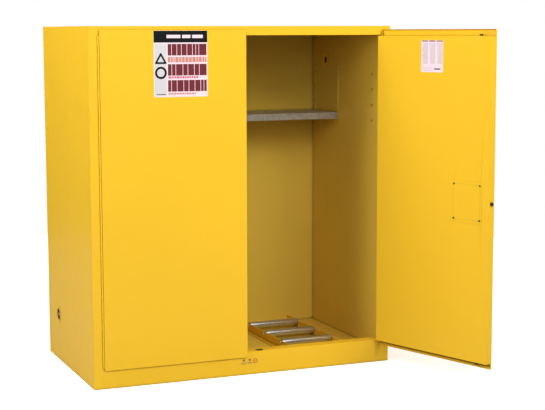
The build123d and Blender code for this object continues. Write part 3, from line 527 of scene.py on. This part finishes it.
# ---- label places and sizes, millimetres ----
FRONT_LEFT = -450.0
FRONT_TOP = 1630.0
FRONT_WIDTH = 258.0
FRONT_HEIGHT = 300.0
INNER_S = 285.0                    # near edge, from the hinge line
INNER_TOP = 1583.0
INNER_WIDTH = 135.0
INNER_HEIGHT = 147.0


def door_across():
    """From the open door's free edge towards its hinge."""
    return Vector((math.cos(OPEN_ANGLE), math.sin(OPEN_ANGLE), 0))


def door_inward():
    """Out of the open door's inner face."""
    return Vector((-math.sin(OPEN_ANGLE), math.cos(OPEN_ANGLE), 0))


def door_point(s, z):
    """A point on the open door's inner face, from its distance to the hinge line and its height."""
    depth = PAN_REAR - HINGE.y
    flat = -door_across() * s * MM + door_inward() * depth
    return Vector((HINGE.x + flat.x, HINGE.y + flat.y, z * MM))


class Label(Panel):
    """A printed sheet: its film, then ink shapes measured from the sheet's top left corner."""

    def __init__(self, name, origin, across, outward, body, width, height, inks):
        super().__init__(name, origin, across, outward, body, inks)
        self.plate(rounded(0, width, -height, 0, FILM_CORNER), SEAT, FILM, inks.index(VINYL_FILM))

    def ink(self, outline, material, layer):
        base = FILM + LAYER * (layer - 1)
        self.plate(outline, base, base + LAYER, self.materials.index(material))

    def band(self, left, right, top, height, material, layer=1):
        radius = min(INK_CORNER, height / 4, (right - left) / 4)
        self.ink(rounded(left, right, -top - height, -top, radius), material, layer)

    def outline(self, outer, inner, material):
        self.ring(outer, inner, FILM + LAYER, FILM + 2 * LAYER, self.materials.index(material))

    def dummy_line(self, left, right, top, height, material, rng, mean, gap):
        """A line of filler blocks of uneven width: the rhythm of print, with no letters."""
        at = left
        while at < right:
            end = min(at + mean * rng.uniform(0.55, 1.45), right)
            if right - end < mean * 0.6:
                end = right
            self.band(at, end, top, height, material)
            at = end + gap


TRIANGLE_CUT = 0.07                # share of a side cut off at each corner


def triangle(cu, top, bottom, half):
    """Upright triangle with cut corners, counter-clockwise, and its centre."""
    corners = ((cu - half, bottom), (cu + half, bottom), (cu, top))
    centre = (cu, bottom + (top - bottom) / 3)
    points = []
    for i, (u, v) in enumerate(corners):
        before, after = corners[i - 1], corners[(i + 1) % 3]
        for other in (before, after):
            points.append((u + (other[0] - u) * TRIANGLE_CUT, v + (other[1] - v) * TRIANGLE_CUT))
    return points, centre


def shrunk(points, centre, factor):
    cu, cv = centre
    return [(cu + (u - cu) * factor, cv + (v - cv) * factor) for u, v in points]


def front_label():
    """Large generic notice on the closed door: dark header, symbol column and filler lines."""
    width, height, edge = FRONT_WIDTH, FRONT_HEIGHT, 0.6
    header, column, margin = 53.0, 60.0, 5.0
    symbol_u, ring_v = 33.5, -190
    left, right = 67.0, 253.0
    inks = [VINYL_FILM, INK_BLACK, INK_RED, INK_ROSE, FILM_GREY, INK_SALMON]
    origin = (FRONT_LEFT * MM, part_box("door_left_skin")[0].y, FRONT_TOP * MM)
    label = Label("front_label", origin, (1, 0, 0), (0, -1, 0), "door_left", width, height, inks)
    rng = random.Random(3)
    label.band(edge, width - edge, edge, header, INK_BLACK)
    for bar_left, bar_right in ((62, 128), (136, 176), (184, 236)):
        label.band(bar_left, bar_right, 19, 15, VINYL_FILM, 2)
    label.band(margin, column, header + 7, height - header - 12, FILM_GREY)
    points, centre = triangle(symbol_u, -97, -150, 30)
    label.outline(points, shrunk(points, centre, 0.52), INK_BLACK)
    label.outline(circle(symbol_u, ring_v, 28), circle(symbol_u, ring_v, 18), INK_BLACK)
    label.band(12, 56, 286, 3, INK_BLACK, 2)
    rows = [(left, right, top, 52, INK_RED, 22, 2.4) for top in (60, 151, 223.5)]
    rows.append((left, right, 119, 24, INK_SALMON, 11, 3.0))
    rows.append((left + 2, 212, 206, 10, INK_ROSE, 9, 2.5))
    rows.append((left + 2, 200, 281, 8, INK_SALMON, 8, 2.5))
    for start, end, top, tall, ink, mean, gap in rows:
        label.dummy_line(start, end, top, tall, ink, rng, mean, gap)
    label.finish()


def inner_label():
    """Small data sheet inside the open door: three columns of fine filler lines."""
    width, height = INNER_WIDTH, INNER_HEIGHT
    line, pitch, block, gap = 1.5, 3.1, 9, 1.2
    origin = door_point(INNER_S + INNER_WIDTH, INNER_TOP)
    inks = [VINYL_FILM, INK_BROWN, INK_FAINT]
    label = Label("inner_label", origin, door_across(), door_inward(), "door_right", width, height, inks)
    rng = random.Random(8)
    for i in range(3):
        left = width * (0.02 + 0.335 * i)
        right = left + width * 0.285
        label.band(left, right, 1.0, height * 0.036, INK_BROWN)
        top = height * 0.09
        while top < height * 0.74:
            ragged = right - width * rng.uniform(0, 0.08)
            label.dummy_line(left, ragged, top, line, INK_FAINT, rng, block, gap)
            top += pitch
    label.band(width * 0.11, width * 0.40, height * 0.875, height * 0.045, INK_BROWN)
    for share in (0.86, 0.90, 0.94):
        label.dummy_line(width * 0.52, width * 0.94, height * share, line, INK_FAINT, rng, block, gap)
    label.finish()


def sill_marks():
    """Three small generic marks printed in a row on the sill's face."""
    brown, rust = 0, 1
    ring_u, ring_v = 40, 64
    origin = (0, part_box("frame_sill")[0].y, 0)
    marks = Panel("sill_marks", origin, (1, 0, 0), (0, -1, 0), "cabinet", [INK_BROWN, INK_RUST])
    for u, foot in ((-18, 30), (12, 26)):
        marks.plate(circle(u, 71, 6), SEAT, LAYER, brown)
        marks.plate(rounded(u - foot / 2, u + foot / 2, 57, 60, 1.5), SEAT, LAYER, brown)
        marks.plate(rounded(u - foot * 0.4, u + foot * 0.4, 51, 53, 1), SEAT, LAYER, brown)
    marks.ring(circle(ring_u, ring_v, 13), circle(ring_u, ring_v, 7.5), SEAT, LAYER, rust)
    marks.plate(circle(ring_u, ring_v, 3.5), SEAT, LAYER, rust)
    marks.finish()


def bung_painted_glint():
    """A pinkish metal patch on the low vent bung's grip bar: a painted highlight."""
    half_long, half_tall, corner, thick = 19, 5.5, 3, 0.12
    low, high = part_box("vent_plugs")
    radius = (high.y - low.y) / 2
    centre = (low.x, low.y + radius, low.z + radius)
    glint_patch = Panel("bung_painted_glint", centre, (0, -1, 0), (-1, 0, 0), "cabinet", [GLINT_METAL])
    glint_patch.plate(rounded(-half_long, half_long, -half_tall, half_tall, corner), SEAT, thick, 0)
    glint_patch.finish()


def catch_coil(end):
    """A catch's spring, which in the real catch closes up against its barrel's end as the catch is pressed in;
    here a fixed copy of its CAD node with a mesh of its own, riding on the left door.
    """
    node = "catch_spring_" + end
    coil = bpy.data.objects.new("catch_coil_" + end, NODES[node].data.copy())
    bpy.context.scene.collection.objects.link(coil)
    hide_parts(node)
    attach(coil, "door_left")
    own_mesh(coil)


# ---------------------------------------------------------------- the scene


make_camera()
make_world()
make_floor()
for box_name, (box_at, box_power) in LIGHTS.items():
    soft_box(box_name, box_at, box_power)
paint_nodes()
soften_nodes()
front_label()
inner_label()
sill_marks()
bung_painted_glint()
catch_coil("top")
catch_coil("bottom")

bpy.context.scene.view_settings.view_transform = "Standard"
bpy.context.view_layer.update()
